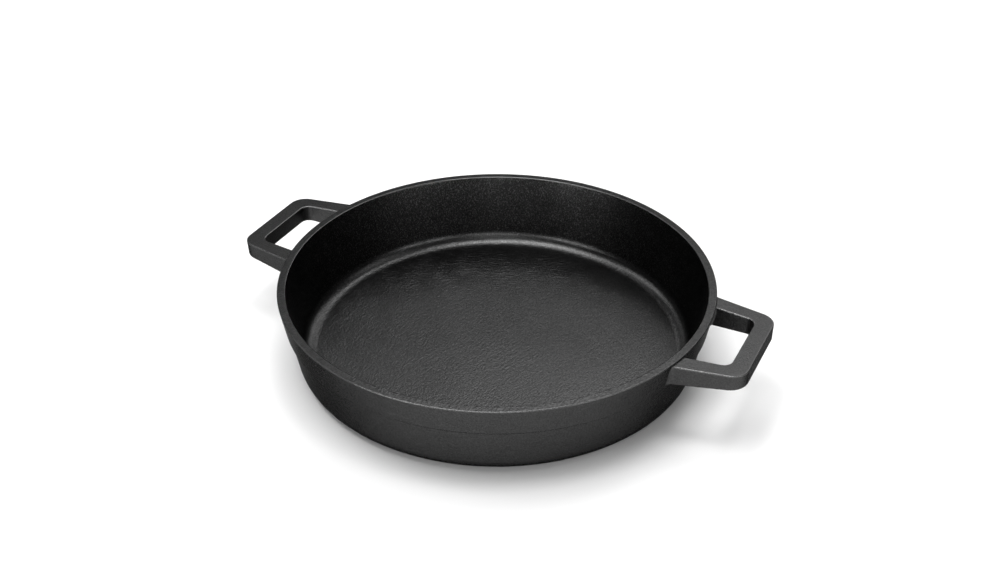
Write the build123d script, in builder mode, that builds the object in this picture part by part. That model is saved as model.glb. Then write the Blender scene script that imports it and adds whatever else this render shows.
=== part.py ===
"""Round cast iron pan with a flat rim and two square loop handles.

Units are millimetres. The origin is the centre of the base, on the surface that the pan stands on.
+Z points up, and the two handles reach out along +X and -X.
"""

import os
from math import hypot, radians, tan

from build123d import *

# Pan
RIM_RADIUS = 140.2  # outside of the rim, before its edge is rounded
HEIGHT = 53.0  # base to rim
DRAFT = 10.0  # degrees, lean of the wall inside and out
RIM_WALL = 5.4  # thickness across the flat rim
FLOOR = 3.8  # thickness of the floor
BASE_CORNER = 11.0  # outside radius between base and wall
COVE = 9.5  # inside radius between floor and wall
RIM_EDGE = 0.7  # rounding of the two rim edges

# Parting line: the wall below it stands back by a small sloping ledge
PARTING_DEPTH = 17.8  # below the rim
PARTING_STEP = 1.5  # how far the lower wall stands back, and the ledge's height

# Handles
REACH = 174.7  # axis of the pan to the handle's outer face
TOP_DROP = 1.65  # rim down to the handle's flat top
ROOT_THICKNESS = 12.75  # at the rim's radius
UNDERSIDE_SLOPE = 4.8  # degrees, the underside rises outwards
END_HALF_WIDTH = 33.9  # half the outer width at the outer face
OUTER_SPLAY = 10.1  # degrees, the arms spread towards the pan
OUTER_CORNER = 11.7
OUTER_DRAFT = 4.5  # degrees, the outer sides draw in as they go down
GRIP = 10.5  # width of the bar that the fingers hold
HOLE_HALF_WIDTH = 26.0  # half the hole's width beside the grip
HOLE_SPLAY = 6.6  # degrees
HOLE_CORNER = 6.5
HOLE_DRAFT = 1.8  # degrees
TOP_EDGE = 0.7  # rounding round the handle's flat top
UNDER_EDGE = 0.3  # the same round its underside
ROOT_FILLET = 0.7  # where the arms meet the wall
BLANK_SPARE = 4.0  # the blank is cast this much deeper, then cut back to the sloping underside
ROOT_OVERLAP = 4  # wall thicknesses that the blank reaches in past the rim, then is trimmed

# Worked out from the above
LEAN = tan(radians(DRAFT))
LEDGE_TOP = HEIGHT - PARTING_DEPTH
LEDGE_FOOT = LEDGE_TOP - PARTING_STEP
HANDLE_TOP = HEIGHT - TOP_DROP
BLANK_DEPTH = ROOT_THICKNESS + BLANK_SPARE
BLANK_ROOT = RIM_RADIUS - ROOT_OVERLAP * RIM_WALL
UNDERSIDE = Plane(origin=(RIM_RADIUS, 0, HANDLE_TOP - ROOT_THICKNESS)).rotated((0, -UNDERSIDE_SLOPE, 0))
HANDLE_TURNS = {"handle_right": 0.0, "handle_left": 180.0}  # degrees about the pan's axis
CLOSE = 0.01  # two heights nearer than this are the same


def upper_radius(z):
    """Outside radius of the wall between the rim and the parting line."""
    return RIM_RADIUS - LEAN * (HEIGHT - z)


def lower_radius(z):
    """Outside radius of the wall below the parting line."""
    return upper_radius(z) - PARTING_STEP


def inner_radius(z):
    """Inside radius of the wall."""
    return upper_radius(z) - RIM_WALL


def loop_outline(reach, half_width, splay, corner_radius):
    """Plan of a handle or its hole: wider towards the pan, with two rounded outer corners."""
    root_half_width = half_width + (reach - BLANK_ROOT) * tan(radians(splay))
    with BuildSketch() as outline:
        with BuildLine():
            Polyline(
                (BLANK_ROOT, -root_half_width),
                (reach, -half_width),
                (reach, half_width),
                (BLANK_ROOT, root_half_width),
                close=True,
            )
        make_face()
        fillet(outline.vertices().group_by(Axis.X)[-1], corner_radius)
    return outline.sketch


def drafted_loop(reach, half_width, splay, corner_radius, draft):
    """Solid on a loop outline whose sides draw in as they go down."""
    draw_in = BLANK_DEPTH * tan(radians(draft))
    with BuildPart() as prism:
        with BuildSketch(Plane.XY.offset(HANDLE_TOP)):
            add(loop_outline(reach, half_width, splay, corner_radius))
        with BuildSketch(Plane.XY.offset(HANDLE_TOP - BLANK_DEPTH)):
            add(loop_outline(reach, half_width - draw_in, splay, corner_radius))
        loft()
    return prism.part


def is_on_top(edge):
    """True for an edge round the flat top of the handle's blank."""
    centre = edge.center()
    return centre.X > BLANK_ROOT + CLOSE and abs(centre.Z - HANDLE_TOP) < CLOSE


def is_on_underside(edge):
    """True for an edge round the sloping underside of the handle's blank."""
    centre = edge.center()
    return centre.X > BLANK_ROOT + CLOSE and abs(UNDERSIDE.to_local_coords(centre).Z) < CLOSE


def is_root(edge):
    """True for an edge where a handle arm meets the wall."""
    centre = edge.center()
    on_wall = abs(hypot(centre.X, centre.Y) - upper_radius(centre.Z)) < RIM_EDGE
    on_an_arm = abs(centre.Y) > HOLE_HALF_WIDTH / 2  # the wall's own seam lies on the axis
    return on_wall and on_an_arm and LEDGE_TOP < centre.Z < HANDLE_TOP + CLOSE


# The pan with no hollow, which the handle roots are trimmed to
with BuildPart() as plug:
    with BuildSketch(Plane.XZ) as outside:
        with BuildLine():
            Polyline(
                (0, 0),
                (lower_radius(0), 0),
                (lower_radius(LEDGE_FOOT), LEDGE_FOOT),
                (upper_radius(LEDGE_TOP), LEDGE_TOP),
                (RIM_RADIUS, HEIGHT),
                (0, HEIGHT),
                close=True,
            )
        make_face()
        fillet(outside.vertices().sort_by_distance((lower_radius(0), 0))[0], BASE_CORNER)
        fillet(outside.vertices().sort_by_distance((RIM_RADIUS, HEIGHT))[0], RIM_EDGE)
    revolve(axis=Axis.Z)

with BuildPart() as pan_body:
    add(plug.part)
    with BuildSketch(Plane.XZ) as hollow:
        with BuildLine():
            Polyline(
                (0, FLOOR),
                (inner_radius(FLOOR), FLOOR),
                (inner_radius(HEIGHT), HEIGHT),
                (0, HEIGHT),
                close=True,
            )
        make_face()
        fillet(hollow.vertices().sort_by_distance((inner_radius(FLOOR), FLOOR))[0], COVE)
    revolve(axis=Axis.Z, mode=Mode.SUBTRACT)
    rim_circles = pan_body.edges().filter_by(GeomType.CIRCLE).group_by(Axis.Z)[-1]
    fillet(rim_circles.sort_by(SortBy.RADIUS)[0], RIM_EDGE)
pan_body.part.label = "pan_body"

# One handle, reaching out along +X, trimmed face to face with the wall
with BuildPart() as loop:
    add(drafted_loop(REACH, END_HALF_WIDTH, OUTER_SPLAY, OUTER_CORNER, OUTER_DRAFT))
    add(
        drafted_loop(REACH - GRIP, HOLE_HALF_WIDTH, HOLE_SPLAY, HOLE_CORNER, HOLE_DRAFT),
        mode=Mode.SUBTRACT,
    )
    split(bisect_by=UNDERSIDE, keep=Keep.TOP)
    fillet(loop.edges().filter_by(is_on_top), TOP_EDGE)
    fillet(loop.edges().filter_by(is_on_underside), UNDER_EDGE)
    add(plug.part)
    fillet(loop.edges().filter_by(is_root), ROOT_FILLET)
    add(plug.part, mode=Mode.SUBTRACT)

os.makedirs("parts", exist_ok=True)
export_step(pan_body.part, "parts/pan_body.step")
for name, turn in HANDLE_TURNS.items():
    with BuildPart() as handle:
        add(loop.part, rotation=(0, 0, turn))
    handle.part.label = name
    export_step(handle.part, f"parts/{name}.step")
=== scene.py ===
"""Looks of a round cast iron pan with a flat rim and two square loop handles, built round its CAD frame.

Units are metres. The origin is the centre of the base, +Z points up and the handles reach along +X and -X.
"""

from math import cos, pi, radians, sin, tan

import bpy
import numpy as np
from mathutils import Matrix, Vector


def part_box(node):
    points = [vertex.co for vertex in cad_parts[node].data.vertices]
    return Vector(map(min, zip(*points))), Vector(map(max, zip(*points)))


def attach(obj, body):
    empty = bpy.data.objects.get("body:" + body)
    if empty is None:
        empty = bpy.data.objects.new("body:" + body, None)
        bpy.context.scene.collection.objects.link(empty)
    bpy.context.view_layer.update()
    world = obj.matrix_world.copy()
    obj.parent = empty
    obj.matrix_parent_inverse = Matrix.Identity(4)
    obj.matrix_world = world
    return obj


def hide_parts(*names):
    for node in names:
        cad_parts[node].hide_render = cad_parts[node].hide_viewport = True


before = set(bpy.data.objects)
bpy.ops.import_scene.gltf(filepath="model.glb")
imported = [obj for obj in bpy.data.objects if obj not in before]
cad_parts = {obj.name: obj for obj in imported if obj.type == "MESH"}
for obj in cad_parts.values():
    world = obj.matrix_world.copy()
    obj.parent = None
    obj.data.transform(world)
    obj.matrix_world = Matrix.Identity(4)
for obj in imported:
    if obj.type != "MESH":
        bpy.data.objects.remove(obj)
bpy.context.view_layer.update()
pan_low, pan_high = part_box("pan_body")
handle_low, handle_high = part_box("handle_right")
MM = 0.001

# Pan
HEIGHT = pan_high.z
DRAFT = radians(10.0)
RIM_WALL = 5.4 * MM
FLOOR = 3.8 * MM
BASE_CORNER = 11.0 * MM
COVE = 9.5 * MM
RIM_EDGE = 0.7 * MM
OUTER_RIM_EDGE = 0.55 * MM
PARTING_DEPTH = 17.8 * MM
PARTING_STEP = 1.5 * MM
PARTING_ROUND = 0.5 * MM
LEAN = tan(DRAFT)
RIM_RADIUS = pan_high.x + RIM_EDGE * (LEAN + 1 / cos(DRAFT) - 1)  # before the rim's edge is rounded
LEDGE_TOP = HEIGHT - PARTING_DEPTH
LEDGE_FOOT = LEDGE_TOP - PARTING_STEP
FLAT_DEPTH = 0.05 * MM  # the rim's flat top ends this far below its height
# the rim's lightened edges: partly rubbed wear, partly a painted highlight
OUTER_RIM_WEAR_AND_HIGHLIGHT = 1.0
INNER_RIM_WEAR_AND_HIGHLIGHT = 0.5
RIM_WEAR_AND_HIGHLIGHT_WIDTH = 0.45 * MM
TURN_STEPS = 360
ARC_STEPS = 10
RUN_STEP = 4.0 * MM
HOLD = 0.25 * MM  # a ring of points this near each arc keeps the flat beside it flat

# Handles
REACH = handle_high.x + 0.2 * MM
HANDLE_TOP = HEIGHT - 1.55 * MM
ROOT_THICKNESS = 12.95 * MM
UNDERSIDE_SLOPE = tan(radians(4.8))
END_HALF_WIDTH = 34.1 * MM
OUTER_SPLAY = radians(10.1)
OUTER_CORNER = 11.2 * MM
OUTER_DRAFT = tan(radians(4.5))
GRIP = 11.2 * MM
HOLE_HALF_WIDTH = 26.0 * MM
HOLE_SPLAY = radians(6.6)
HOLE_CORNER = 6.5 * MM
HOLE_DRAFT = tan(radians(1.8))
TOP_EDGE = 0.5 * MM
UNDER_EDGE = 0.3 * MM
SIDE_FILLET = 2.0 * MM
TOP_FILLET = 0.6 * MM
SUNK = 0.04 * MM  # the root's skirt dips this far under the wall's skin
ROOT_PLATE = 2.0 * MM  # how deep the root goes into the wall
# the handles' lightened edges: partly rubbed wear, partly a painted highlight
HANDLE_WEAR_AND_HIGHLIGHT_WIDTH = 0.55 * MM
CELL = 0.5 * MM  # size of the cells that the handles' skin is meshed in
SKIN_PASSES = 8  # times each point is moved on to the skin
SLOPE_STEP = 0.02 * MM
LEAST_SLOPE = 0.5  # keeps a point's moves short where the distance is nearly level


def upper_radius(z):
    """Outside radius of the wall above the parting line."""
    return RIM_RADIUS - LEAN * (HEIGHT - z)


def lower_radius(z):
    """Outside radius of the wall below the parting line."""
    return upper_radius(z) - PARTING_STEP


def inner_radius(z):
    """Inside radius of the wall."""
    return upper_radius(z) - RIM_WALL


def mesh_piece(name, points, faces, materials, wear_and_highlight):
    """Smooth mesh in the scene, with its edge wear and painted highlight kept as a value at each point."""
    mesh = bpy.data.meshes.new(name)
    mesh.from_pydata([tuple(p) for p in points], [], faces)
    mesh.polygons.foreach_set("use_smooth", [True] * len(mesh.polygons))
    worn_edge_and_highlight = mesh.attributes.new("worn_edge_and_highlight", "FLOAT", "POINT")
    worn_edge_and_highlight.data.foreach_set("value", np.asarray(wear_and_highlight, np.float32))
    for material in materials:
        mesh.materials.append(material)
    mesh.update()
    piece = bpy.data.objects.new(name, mesh)
    bpy.context.scene.collection.objects.link(piece)
    return piece


# ---------------------------------------------------------------- pan

def arc_at(before, corner, after, radius):
    """Points of the arc that rounds a corner of an outline."""
    to_before = (before - corner).normalized()
    to_after = (after - corner).normalized()
    half = to_before.angle(to_after) / 2
    centre = corner + (to_before + to_after).normalized() * radius / sin(half)
    start = corner + to_before * radius / tan(half) - centre
    end = corner + to_after * radius / tan(half) - centre
    sweep = pi - 2 * half
    shares = [i / ARC_STEPS for i in range(ARC_STEPS + 1)]
    return [centre + (start * sin((1 - s) * sweep) + end * sin(s * sweep)) / sin(sweep) for s in shares]


def run_between(start, end):
    """Points between two arcs, with one close to each."""
    length = (end - start).length
    count = max(1, round((length - 2 * HOLD) / RUN_STEP))
    shares = [HOLD / length + (1 - 2 * HOLD / length) * i / count for i in range(count + 1)]
    return [start.lerp(end, s) for s in shares]


def pan_outline():
    """Half section as (radius, height), from the base's middle, up outside, over the rim, to the floor."""
    corners = [
        (0.0, 0.0, 0.0),
        (lower_radius(0.0), 0.0, BASE_CORNER),
        (lower_radius(LEDGE_FOOT), LEDGE_FOOT, PARTING_ROUND),
        (upper_radius(LEDGE_TOP), LEDGE_TOP, PARTING_ROUND),
        (RIM_RADIUS, HEIGHT, OUTER_RIM_EDGE),
        (RIM_RADIUS - RIM_WALL, HEIGHT, RIM_EDGE),
        (inner_radius(FLOOR), FLOOR, COVE),
        (0.0, FLOOR, 0.0),
    ]
    spots = [Vector(c[:2]) for c in corners]
    line = [spots[0]]
    for i in range(1, len(corners) - 1):
        arc = arc_at(spots[i - 1], spots[i], spots[i + 1], corners[i][2])
        line += run_between(line[-1], arc[0])[(i == 1):] + arc
    return line + run_between(line[-1], spots[-1])[:-1] + [spots[-1]]


def wear_and_highlight_at(distance, width):
    """How rubbed the iron is at a distance from an edge, and how lightened as a painted highlight: 1 at
    the edge, fading over a width.
    """
    return np.exp(-((distance / width) ** 2))


def rim_wear_and_highlight(radius, z):
    """How far the rim's two edges are rubbed and lightened as a painted highlight at a point, from 0 to 1.
    """
    from_outer = max(abs(z - HEIGHT), abs(radius - RIM_RADIUS))
    from_inner = max(abs(z - HEIGHT), abs(radius - RIM_RADIUS + RIM_WALL))
    outer_wear_and_highlight = OUTER_RIM_WEAR_AND_HIGHLIGHT * wear_and_highlight_at(from_outer, RIM_WEAR_AND_HIGHLIGHT_WIDTH)
    inner_wear_and_highlight = INNER_RIM_WEAR_AND_HIGHLIGHT * wear_and_highlight_at(from_inner, RIM_WEAR_AND_HIGHLIGHT_WIDTH)
    return outer_wear_and_highlight + inner_wear_and_highlight


def make_pan(outside, inside):
    """The pan's casting, turned from its half section. The inside iron starts at the rim's flat."""
    line = pan_outline()
    rings = line[1:-1]
    angles = [2 * pi * i / TURN_STEPS for i in range(TURN_STEPS)]
    points = [(0.0, 0.0, 0.0)]
    for p in rings:
        points += [(p.x * cos(a), p.x * sin(a), p.y) for a in angles]
    points.append((0.0, 0.0, FLOOR))
    faces = []
    for j in range(TURN_STEPS):
        k = (j + 1) % TURN_STEPS
        faces.append((0, 1 + k, 1 + j))
        for i in range(len(rings) - 1):
            ring = 1 + i * TURN_STEPS
            after = ring + TURN_STEPS
            faces.append((ring + j, ring + k, after + k, after + j))
        last_ring = 1 + (len(rings) - 1) * TURN_STEPS
        faces.append((last_ring + j, last_ring + k, len(points) - 1))
    # each point's edge lightening: partly rubbed wear, partly a painted highlight
    wear_and_highlight = [rim_wear_and_highlight(np.hypot(x, y), z) for x, y, z in points]
    pan = mesh_piece("pan_casting", points, faces, [outside, inside], wear_and_highlight)
    for face in pan.data.polygons:
        radius = np.hypot(face.center.x, face.center.y)
        z = face.center.z
        inward = z > FLOOR / 2 and radius < upper_radius(z) - RIM_WALL / 2
        on_flat = z > HEIGHT - FLAT_DEPTH
        face.material_index = 1 if inward or on_flat else 0
    return pan


# ---------------------------------------------------------------- handles

def rounded_max(a, b, radius):
    """Overlap of two solids given as distances, with the edge between them rounded."""
    outside = np.hypot(np.maximum(a + radius, 0), np.maximum(b + radius, 0))
    return outside + np.minimum(np.maximum(a, b) + radius, 0) - radius


def filleted_min(a, b, radius):
    """Two solids given as distances made one, with a fillet between them."""
    inside = np.hypot(np.maximum(radius - a, 0), np.maximum(radius - b, 0))
    return np.maximum(radius, np.minimum(a, b)) - inside


def plan_distance(x, y, reach, half_width, splay, radius):
    """Distance outside a plan outline with an end face, splayed sides and rounded corners."""
    side = (y - half_width - (reach - x) * tan(splay)) * cos(splay)
    along = x - reach + radius
    across = y - half_width - radius * tan(splay) + radius / cos(splay)
    in_corner = (across > 0) & (along * cos(splay) > across * sin(splay))
    return np.where(in_corner, np.hypot(along, across) - radius, np.maximum(x - reach, side))


def handle_faces(x, y, z):
    """Distances from the loop's sides, its top and its underside."""
    depth = HANDLE_TOP - z
    y = np.abs(y)
    outer = plan_distance(x, y, REACH, END_HALF_WIDTH - depth * OUTER_DRAFT, OUTER_SPLAY, OUTER_CORNER)
    hole = plan_distance(x, y, REACH - GRIP, HOLE_HALF_WIDTH - depth * HOLE_DRAFT, HOLE_SPLAY, HOLE_CORNER)
    under = depth - ROOT_THICKNESS + (x - RIM_RADIUS) * UNDERSIDE_SLOPE
    return np.maximum(outer, -hole), -depth, under


def handle_distance(x, y, z):
    """Distance outside a handle, its root fillet and the plate that it sinks into the wall."""
    sides, top, under = handle_faces(x, y, z)
    loop = rounded_max(rounded_max(sides, top, TOP_EDGE), under, UNDER_EDGE)
    wall = (np.hypot(x, y) - upper_radius(z)) * cos(DRAFT)
    share = np.clip((HANDLE_TOP - z) / (2 * SIDE_FILLET), 0, 1)
    fillet = TOP_FILLET + (SIDE_FILLET - TOP_FILLET) * share * share * (3 - 2 * share)
    joined = filleted_min(loop, wall + SUNK, fillet)
    return np.maximum(np.maximum(joined, loop - fillet), -wall - ROOT_PLATE)


def slope_of(distance, p):
    """Gradient of a distance at each point."""
    found = np.empty_like(p)
    for axis in range(3):
        shift = np.zeros(3)
        shift[axis] = SLOPE_STEP
        found[:, axis] = (distance(*(p + shift).T) - distance(*(p - shift).T)) / (2 * SLOPE_STEP)
    return found


def skin_of(distance, low, high):
    """Quads on a distance's zero surface: a point in each crossed cell, a face over each crossed edge."""
    axes = [np.arange(low[i], high[i] + CELL, CELL) for i in range(3)]
    inside = distance(*np.meshgrid(*axes, indexing="ij")) < 0
    size = [len(a) - 1 for a in axes]
    filled = sum(
        inside[i:i + size[0], j:j + size[1], k:k + size[2]].astype(int)
        for i in (0, 1) for j in (0, 1) for k in (0, 1)
    )
    crossed = (filled > 0) & (filled < 8)
    number = np.full(crossed.shape, -1)
    number[crossed] = np.arange(crossed.sum())
    points = np.array(low) + (np.argwhere(crossed) + 0.5) * CELL
    for _ in range(SKIN_PASSES):
        slope = slope_of(distance, points)
        steepness = np.maximum((slope ** 2).sum(1), LEAST_SLOPE ** 2)
        points -= (distance(*points.T) / steepness)[:, None] * slope
    faces = []
    for axis in range(3):
        here = np.moveaxis(inside, axis, 0)
        cells = np.moveaxis(number, axis, 0)
        first, second = here[:-1, 1:-1, 1:-1], here[1:, 1:-1, 1:-1]
        ring = [cells[:, :-1, :-1], cells[:, 1:, :-1], cells[:, 1:, 1:], cells[:, :-1, 1:]]
        for change, order in ((first & ~second, (0, 1, 2, 3)), (~first & second, (3, 2, 1, 0))):
            quads = np.stack([ring[o][change] for o in order], axis=1)
            faces.append(quads if axis != 1 else quads[:, ::-1])
    return points, np.concatenate(faces)


def make_handle(name, turn, material):
    """One loop handle with its root fillets, turned by nothing or by half a turn about the pan's axis."""
    margin = 2 * CELL
    room = 3 * SIDE_FILLET
    low = (handle_low.x - room, handle_low.y - room, handle_low.z - 2 * SIDE_FILLET)
    high = (REACH + margin, handle_high.y + room, HANDLE_TOP + SIDE_FILLET)
    points, faces = skin_of(handle_distance, low, high)
    sides, top, _ = handle_faces(*points.T)
    from_wall = np.hypot(points[:, 0], points[:, 1]) - upper_radius(points[:, 2])
    off_root = np.clip(from_wall / (2 * SIDE_FILLET), 0, 1)
    # edge lightening on the handles: partly rubbed wear, partly a painted highlight, faded out at the root
    wear_and_highlight = off_root * wear_and_highlight_at(np.minimum(sides, top), HANDLE_WEAR_AND_HIGHLIGHT_WIDTH)
    turned = points * np.array([cos(turn), cos(turn), 1.0])
    return mesh_piece(name, turned, faces.tolist(), [material], wear_and_highlight)


# ---------------------------------------------------------------- materials

CLOUD_SCALE = 18.0
BLOTCH_SCALE = 95.0
GRAIN_SCALE = 800.0
SPECK_SCALE = 1150.0
FLOOR_SPECK_SCALE = 1100.0
WALL_SPECK_SCALE = 1500.0
WRINKLE_SCALE = 720.0
BACK_WRINKLE_SCALE = 560.0
NOISE_LOW = 0.3  # most of a noise lies between these two values
NOISE_HIGH = 0.7

CLOUD_SPREAD = 0.07  # these four are how far a shade strays, as a share of itself
SPECK_SPREAD = 0.22
FLOOR_SPECK_SPREAD = 0.30
WALL_SPECK_SPREAD = 0.50
GLOSS_SPREAD = 0.02
GRAINY_SPREAD = 0.30
RUBBED_AND_HIGHLIGHT_SHADE = 2.6  # times the iron's own shade, on rubbed edges: partly wear and partly a painted highlight
RUBBED_GLOSS = 0.18  # how much less rough a rubbed edge is
PAINTED_GLINT_SHADE = 4.0  # times the iron's own shade, for painted glints on the inside wall
PAINTED_PARTING_SHADE = 0.6  # times the iron's own shade, a painted shade line at the parting ledge
COVE_WRINKLES = 0.35  # how deep the cove's wrinkles are beside the floor's
GRAIN_DEPTH = 0.24 * MM
DENT_DEPTH = 0.12 * MM
SPECK_DEPTH = 0.10 * MM
WRINKLE_DEPTH = 0.17 * MM
BACK_WRINKLE_GAIN = 1.7

WRINKLE_TURN = radians(78.6)
WRINKLE_STRETCH = (2.6, 1.0, 1.0)
BACK_WRINKLE_TURN = radians(30.0)
BACK_WRINKLE_STRETCH = (3.4, 1.0, 1.0)
FLOOR_SPECK_STRETCH = (1.5, 1.0, 1.0)
WALL_SPECK_STRETCH = (1.0, 1.0, 1.6)
GRAINY_SIDE = (-0.896, -0.443, 0.0)  # the inside is grainier towards the camera's left
GRAINY_REACH = 0.11
BACK_SIDE = (-0.443, 0.896, 0.0)  # the wrinkles turn level away from the camera
BACK_START = 0.035
BACK_END = 0.085


class NodeMaterial:
    """Empty node material, with short ways to add nodes to it."""

    def __init__(self, name):
        self.material = bpy.data.materials.new(name)
        self.material.use_nodes = True
        self.tree = self.material.node_tree
        self.tree.nodes.clear()

    def add(self, kind, inputs=None, **settings):
        """Node of a kind, with its settings made and its inputs linked or set."""
        node = self.tree.nodes.new("ShaderNode" + kind)
        for key, value in settings.items():
            setattr(node, key, value)
        for socket, value in (inputs or {}).items():
            if isinstance(value, bpy.types.NodeSocket):
                self.tree.links.new(value, node.inputs[socket])
            else:
                node.inputs[socket].default_value = value
        return node

    def place(self):
        """Where the shaded point is on its object."""
        return self.add("TexCoord").outputs["Object"]

    def noise(self, vector, scale, detail, **more):
        """Noise from 0 to 1 at a place."""
        inputs = {"Vector": vector, "Scale": scale, "Detail": detail, **more}
        return self.add("TexNoise", inputs).outputs["Fac"]

    def ramp(self, value, low, high, to_low, to_high):
        """A value between low and high, moved to between two other values."""
        inputs = {"Value": value, "From Min": low, "From Max": high, "To Min": to_low, "To Max": to_high}
        return self.add("MapRange", inputs).outputs["Result"]

    def varied(self, noise, middle, spread):
        """A value that strays from its middle by up to a spread, as a noise does from its own."""
        return self.ramp(noise, NOISE_LOW, NOISE_HIGH, middle - spread, middle + spread)

    def stretched(self, place, turn, stretch):
        """A place seen in a pattern that is stretched, then turned about Z."""
        inputs = {"Vector": place, "Rotation": (0.0, 0.0, turn), "Scale": stretch}
        return self.add("Mapping", inputs, vector_type="TEXTURE").outputs["Vector"]

    def along(self, place, direction):
        """How far a place lies along a direction."""
        return self.add("VectorMath", {0: place, 1: direction}, operation="DOT_PRODUCT").outputs["Value"]

    def blend(self, share, first, second):
        """The first value at share 0, the second at share 1."""
        return self.add("Mix", {0: share, 2: first, 3: second}).outputs[0]

    def times(self, first, second):
        """One value times another."""
        return self.add("Math", {0: first, 1: second}, operation="MULTIPLY").outputs[0]

    def bump(self, height, strength, distance, **more):
        """Normal of a surface that a height pushes out by up to a distance."""
        inputs = {"Height": height, "Strength": strength, "Distance": distance, **more}
        return self.add("Bump", inputs).outputs["Normal"]


def sand_cast_skin(nodes, place, cloudy, blotches, grain):
    """Shade and normal of the outside: fine grain, shallow dents and a painted shade line at the parting
    ledge.
    """
    specks = nodes.noise(place, SPECK_SCALE, 1.0)
    speckled = nodes.times(cloudy, nodes.varied(specks, 1.0, SPECK_SPREAD))
    up = nodes.add("SeparateXYZ", {"Vector": place}).outputs["Z"]
    ledge_middle = (LEDGE_TOP + LEDGE_FOOT) / 2
    above_ledge = nodes.add("Math", {0: up, 1: ledge_middle}, operation="SUBTRACT").outputs[0]
    off_ledge = nodes.add("Math", {0: above_ledge}, operation="ABSOLUTE").outputs[0]
    # painted shade: the wall is darkened along the parting ledge
    painted_ledge_shade = nodes.ramp(off_ledge, PARTING_STEP * 0.3, PARTING_STEP * 0.8, PAINTED_PARTING_SHADE, 1.0)
    level = nodes.times(speckled, painted_ledge_shade)
    fine = nodes.bump(grain, 1.0, GRAIN_DEPTH)
    return level, nodes.bump(blotches, 1.0, DENT_DEPTH, Normal=fine)


def seasoned_skin(nodes, place, cloudy, blotches, shade):
    """Shade and normal of the inside: wrinkles across the floor, and bright specks on the wall that are
    painted glints.

    The cove has fainter wrinkles. The rim's flat has the floor's wrinkles and no painted glints.
    """
    up = nodes.add("SeparateXYZ", {"Vector": place}).outputs["Z"]
    on_rim = nodes.ramp(up, HEIGHT - 0.3 * MM, HEIGHT - 0.1 * MM, 0.0, 1.0)
    on_wall = nodes.blend(on_rim, nodes.ramp(up, FLOOR + COVE * 0.3, FLOOR + COVE, 0.0, 1.0), 0.0)
    off_cove = nodes.blend(on_rim, nodes.ramp(up, FLOOR, FLOOR + COVE * 0.1, 1.0, COVE_WRINKLES), 1.0)
    to_grainy_side = nodes.along(place, GRAINY_SIDE)
    least, most = 1 - GRAINY_SPREAD, 1 + GRAINY_SPREAD
    rough_side = nodes.ramp(to_grainy_side, -GRAINY_REACH, GRAINY_REACH, least, most)
    at_back = nodes.ramp(nodes.along(place, BACK_SIDE), BACK_START, BACK_END, 0.0, 1.0)

    slanting_place = nodes.stretched(place, WRINKLE_TURN, WRINKLE_STRETCH)
    slanting = nodes.noise(slanting_place, WRINKLE_SCALE, 4.0, Distortion=0.5)
    level_place = nodes.stretched(place, BACK_WRINKLE_TURN, BACK_WRINKLE_STRETCH)
    level_ones = nodes.noise(level_place, BACK_WRINKLE_SCALE, 4.0, Distortion=0.5)
    wrinkles = nodes.blend(at_back, slanting, level_ones)
    patchy = nodes.times(nodes.times(rough_side, off_cove), nodes.ramp(blotches, 0.35, 0.65, 0.5, 1.2))
    deep = nodes.times(patchy, nodes.ramp(at_back, 0.0, 1.0, 1.0, BACK_WRINKLE_GAIN))

    floor_speck_place = nodes.stretched(place, WRINKLE_TURN, FLOOR_SPECK_STRETCH)
    floor_specks = nodes.noise(floor_speck_place, FLOOR_SPECK_SCALE, 1.0)
    wall_speck_place = nodes.stretched(place, 0.0, WALL_SPECK_STRETCH)
    wall_specks = nodes.noise(wall_speck_place, WALL_SPECK_SCALE, 1.0)
    floor_mottle = nodes.varied(floor_specks, 1.0, FLOOR_SPECK_SPREAD)
    wall_mottle = nodes.varied(wall_specks, 1.0, WALL_SPECK_SPREAD)
    speckled = nodes.times(cloudy, nodes.blend(on_wall, floor_mottle, wall_mottle))
    # painted glints: rare bright specks on the wall, more of them on the grainy side
    painted_glints = nodes.times(nodes.times(on_wall, rough_side), nodes.ramp(wall_specks, 0.56, 0.76, 0.0, 1.0))
    level = nodes.blend(painted_glints, speckled, shade * PAINTED_GLINT_SHADE)

    fine = nodes.bump(nodes.blend(on_wall, floor_specks, wall_specks), rough_side, SPECK_DEPTH)
    return level, nodes.bump(wrinkles, deep, WRINKLE_DEPTH, Normal=fine)


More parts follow.
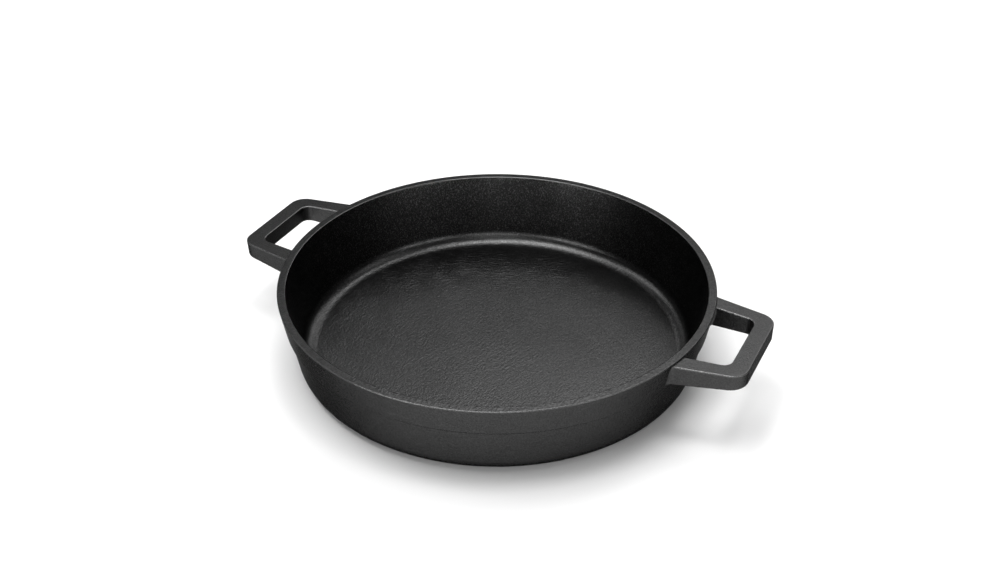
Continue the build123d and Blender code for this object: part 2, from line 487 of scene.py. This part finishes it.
def cast_iron(name, shade, roughness, grazing, inside):
    """Black seasoned iron: cloudy shade, the skin of its side, and edges rubbed smoother and lighter, the
    lightening partly wear and partly a painted highlight.
    """
    nodes = NodeMaterial(name)
    place = nodes.place()
    worn_and_highlight = nodes.add("Attribute", attribute_name="worn_edge_and_highlight").outputs["Fac"]
    clouds = nodes.noise(place, CLOUD_SCALE, 4.0)
    blotches = nodes.noise(place, BLOTCH_SCALE, 3.0)
    grain = nodes.noise(place, GRAIN_SCALE, 2.0)
    # edges lightened: partly rubbed wear, partly a painted highlight
    rubbed_and_highlight = nodes.times(worn_and_highlight, nodes.ramp(grain, 0.30, 0.55, 0.45, 1.0))
    gloss = nodes.varied(blotches, roughness, GLOSS_SPREAD)
    cloudy = nodes.varied(clouds, shade, shade * CLOUD_SPREAD)
    if inside:
        level, normal = seasoned_skin(nodes, place, cloudy, blotches, shade)
    else:
        level, normal = sand_cast_skin(nodes, place, cloudy, blotches, grain)
    level = nodes.blend(rubbed_and_highlight, level, shade * RUBBED_AND_HIGHLIGHT_SHADE)
    surface = nodes.add("BsdfPrincipled", {
        "Base Color": nodes.add("CombineColor", {0: level, 1: level, 2: level}).outputs["Color"],
        "Metallic": 1.0,
        "Specular Tint": (grazing, grazing, grazing, 1.0),
        "Roughness": nodes.blend(rubbed_and_highlight, gloss, roughness - RUBBED_GLOSS),
        "Normal": normal,
    })
    nodes.add("OutputMaterial", {"Surface": surface.outputs["BSDF"]})
    return nodes.material


def pale_floor():
    """Matt near-white floor of a studio."""
    nodes = NodeMaterial("studio_floor")
    surface = nodes.add("BsdfPrincipled", {
        "Base Color": (0.82, 0.82, 0.82, 1.0),
        "Roughness": 0.9,
        "Specular IOR Level": 0.0,
    })
    nodes.add("OutputMaterial", {"Surface": surface.outputs["BSDF"]})
    return nodes.material


# ---------------------------------------------------------------- studio

CAMERA_AZIMUTH = 26.297
CAMERA_ELEVATION = 32.418
CAMERA_DISTANCE = 0.8238
CAMERA_PITCH = 32.665
CAMERA_YAW = 0.159
CAMERA_LENS = 46.168
CAMERA_SENSOR = 36.0
LIGHT_DISTANCE = 3.0
FLOOR_REACH = 1.5
FLOOR_SIDES = 96


def aimed_place(azimuth, elevation, distance):
    """A place round the pan: azimuth 0 is at -Y and turns towards +X."""
    a, e = radians(azimuth), radians(elevation)
    return Vector((sin(a) * cos(e), -cos(a) * cos(e), sin(e))) * distance


def make_camera():
    """Camera half a metre above the floor, looking down at the pan."""
    data = bpy.data.cameras.new("camera")
    data.lens = CAMERA_LENS
    data.sensor_width = CAMERA_SENSOR
    data.clip_start = 0.01
    data.clip_end = 50.0
    camera = bpy.data.objects.new("camera", data)
    bpy.context.scene.collection.objects.link(camera)
    rim_centre = Vector((0.0, 0.0, HEIGHT))
    camera.location = rim_centre + aimed_place(CAMERA_AZIMUTH, CAMERA_ELEVATION, CAMERA_DISTANCE)
    camera.rotation_euler = (radians(90 - CAMERA_PITCH), 0.0, radians(CAMERA_AZIMUTH - CAMERA_YAW))
    bpy.context.scene.camera = camera


def make_floor():
    """Round pale floor under the pan, small enough that it is evenly lit to its edge."""
    angles = [2 * pi * i / FLOOR_SIDES for i in range(FLOOR_SIDES)]
    corners = [(FLOOR_REACH * cos(a), FLOOR_REACH * sin(a), 0.0) for a in angles]
    mesh = bpy.data.meshes.new("floor")
    mesh.from_pydata(corners, [], [tuple(range(FLOOR_SIDES))])
    mesh.materials.append(pale_floor())
    floor = bpy.data.objects.new("floor", mesh)
    bpy.context.scene.collection.objects.link(floor)


def softbox(name, turn, elevation, width, radiance):
    """Square soft light three metres off that faces the pan and fills an angle of its view.

    Its turn is from the camera's side, towards the camera's right.
    """
    size = 2 * LIGHT_DISTANCE * tan(radians(width / 2))
    data = bpy.data.lights.new(name, "AREA")
    data.shape = "SQUARE"
    data.size = size
    data.energy = radiance * pi * size * size
    lamp = bpy.data.objects.new(name, data)
    bpy.context.scene.collection.objects.link(lamp)
    lamp.location = aimed_place(CAMERA_AZIMUTH + turn, elevation, LIGHT_DISTANCE)
    lamp.rotation_euler = (-lamp.location).to_track_quat("-Z", "Y").to_euler()
    lamp.visible_camera = False


def make_studio():
    """Floor, soft lights and a pale surround that only the camera sees."""
    make_floor()
    softbox("overhead", turn=90.0, elevation=84.0, width=14.0, radiance=12.0)
    softbox("high_left", turn=270.0, elevation=70.0, width=24.0, radiance=4.0)
    softbox("high_front_left", turn=315.0, elevation=75.0, width=24.0, radiance=5.0)
    softbox("high_back_left", turn=225.0, elevation=75.0, width=24.0, radiance=3.5)
    softbox("back", turn=162.0, elevation=58.0, width=30.0, radiance=4.0)
    softbox("middle_back", turn=180.0, elevation=42.0, width=22.0, radiance=1.0)
    softbox("middle_back_left", turn=240.0, elevation=42.0, width=22.0, radiance=3.0)
    softbox("middle_front", turn=0.0, elevation=42.0, width=30.0, radiance=1.0)
    softbox("middle_right", turn=90.0, elevation=42.0, width=22.0, radiance=1.5)
    softbox("low_back_right", turn=150.0, elevation=25.0, width=24.0, radiance=3.0)
    softbox("low_back_left", turn=208.0, elevation=22.0, width=24.0, radiance=1.0)
    softbox("low_front_left", turn=315.0, elevation=8.0, width=30.0, radiance=5.5)
    softbox("low_front", turn=0.0, elevation=8.0, width=30.0, radiance=3.0)
    softbox("low_front_right", turn=45.0, elevation=8.0, width=30.0, radiance=3.5)
    world = bpy.data.worlds.new("surround")
    world.use_nodes = True
    background = world.node_tree.nodes["Background"]
    background.inputs["Color"].default_value = (1.0, 1.0, 1.0, 1.0)
    background.inputs["Strength"].default_value = 1.0
    world.cycles_visibility.diffuse = False
    world.cycles_visibility.glossy = False
    bpy.context.scene.world = world
    bpy.context.scene.view_settings.view_transform = "Standard"


# ---------------------------------------------------------------- making

make_camera()
outside_iron = cast_iron("cast_iron_outside", shade=0.058, roughness=0.38, grazing=0.25, inside=False)
inside_iron = cast_iron("cast_iron_inside", shade=0.052, roughness=0.30, grazing=0.38, inside=True)
pan = make_pan(outside_iron, inside_iron)
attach(pan, "root")
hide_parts("pan_body")
for node, turn in (("handle_right", 0.0), ("handle_left", pi)):
    handle = make_handle(node + "_casting", turn, outside_iron)
    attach(handle, "root")
    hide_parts(node)
make_studio()
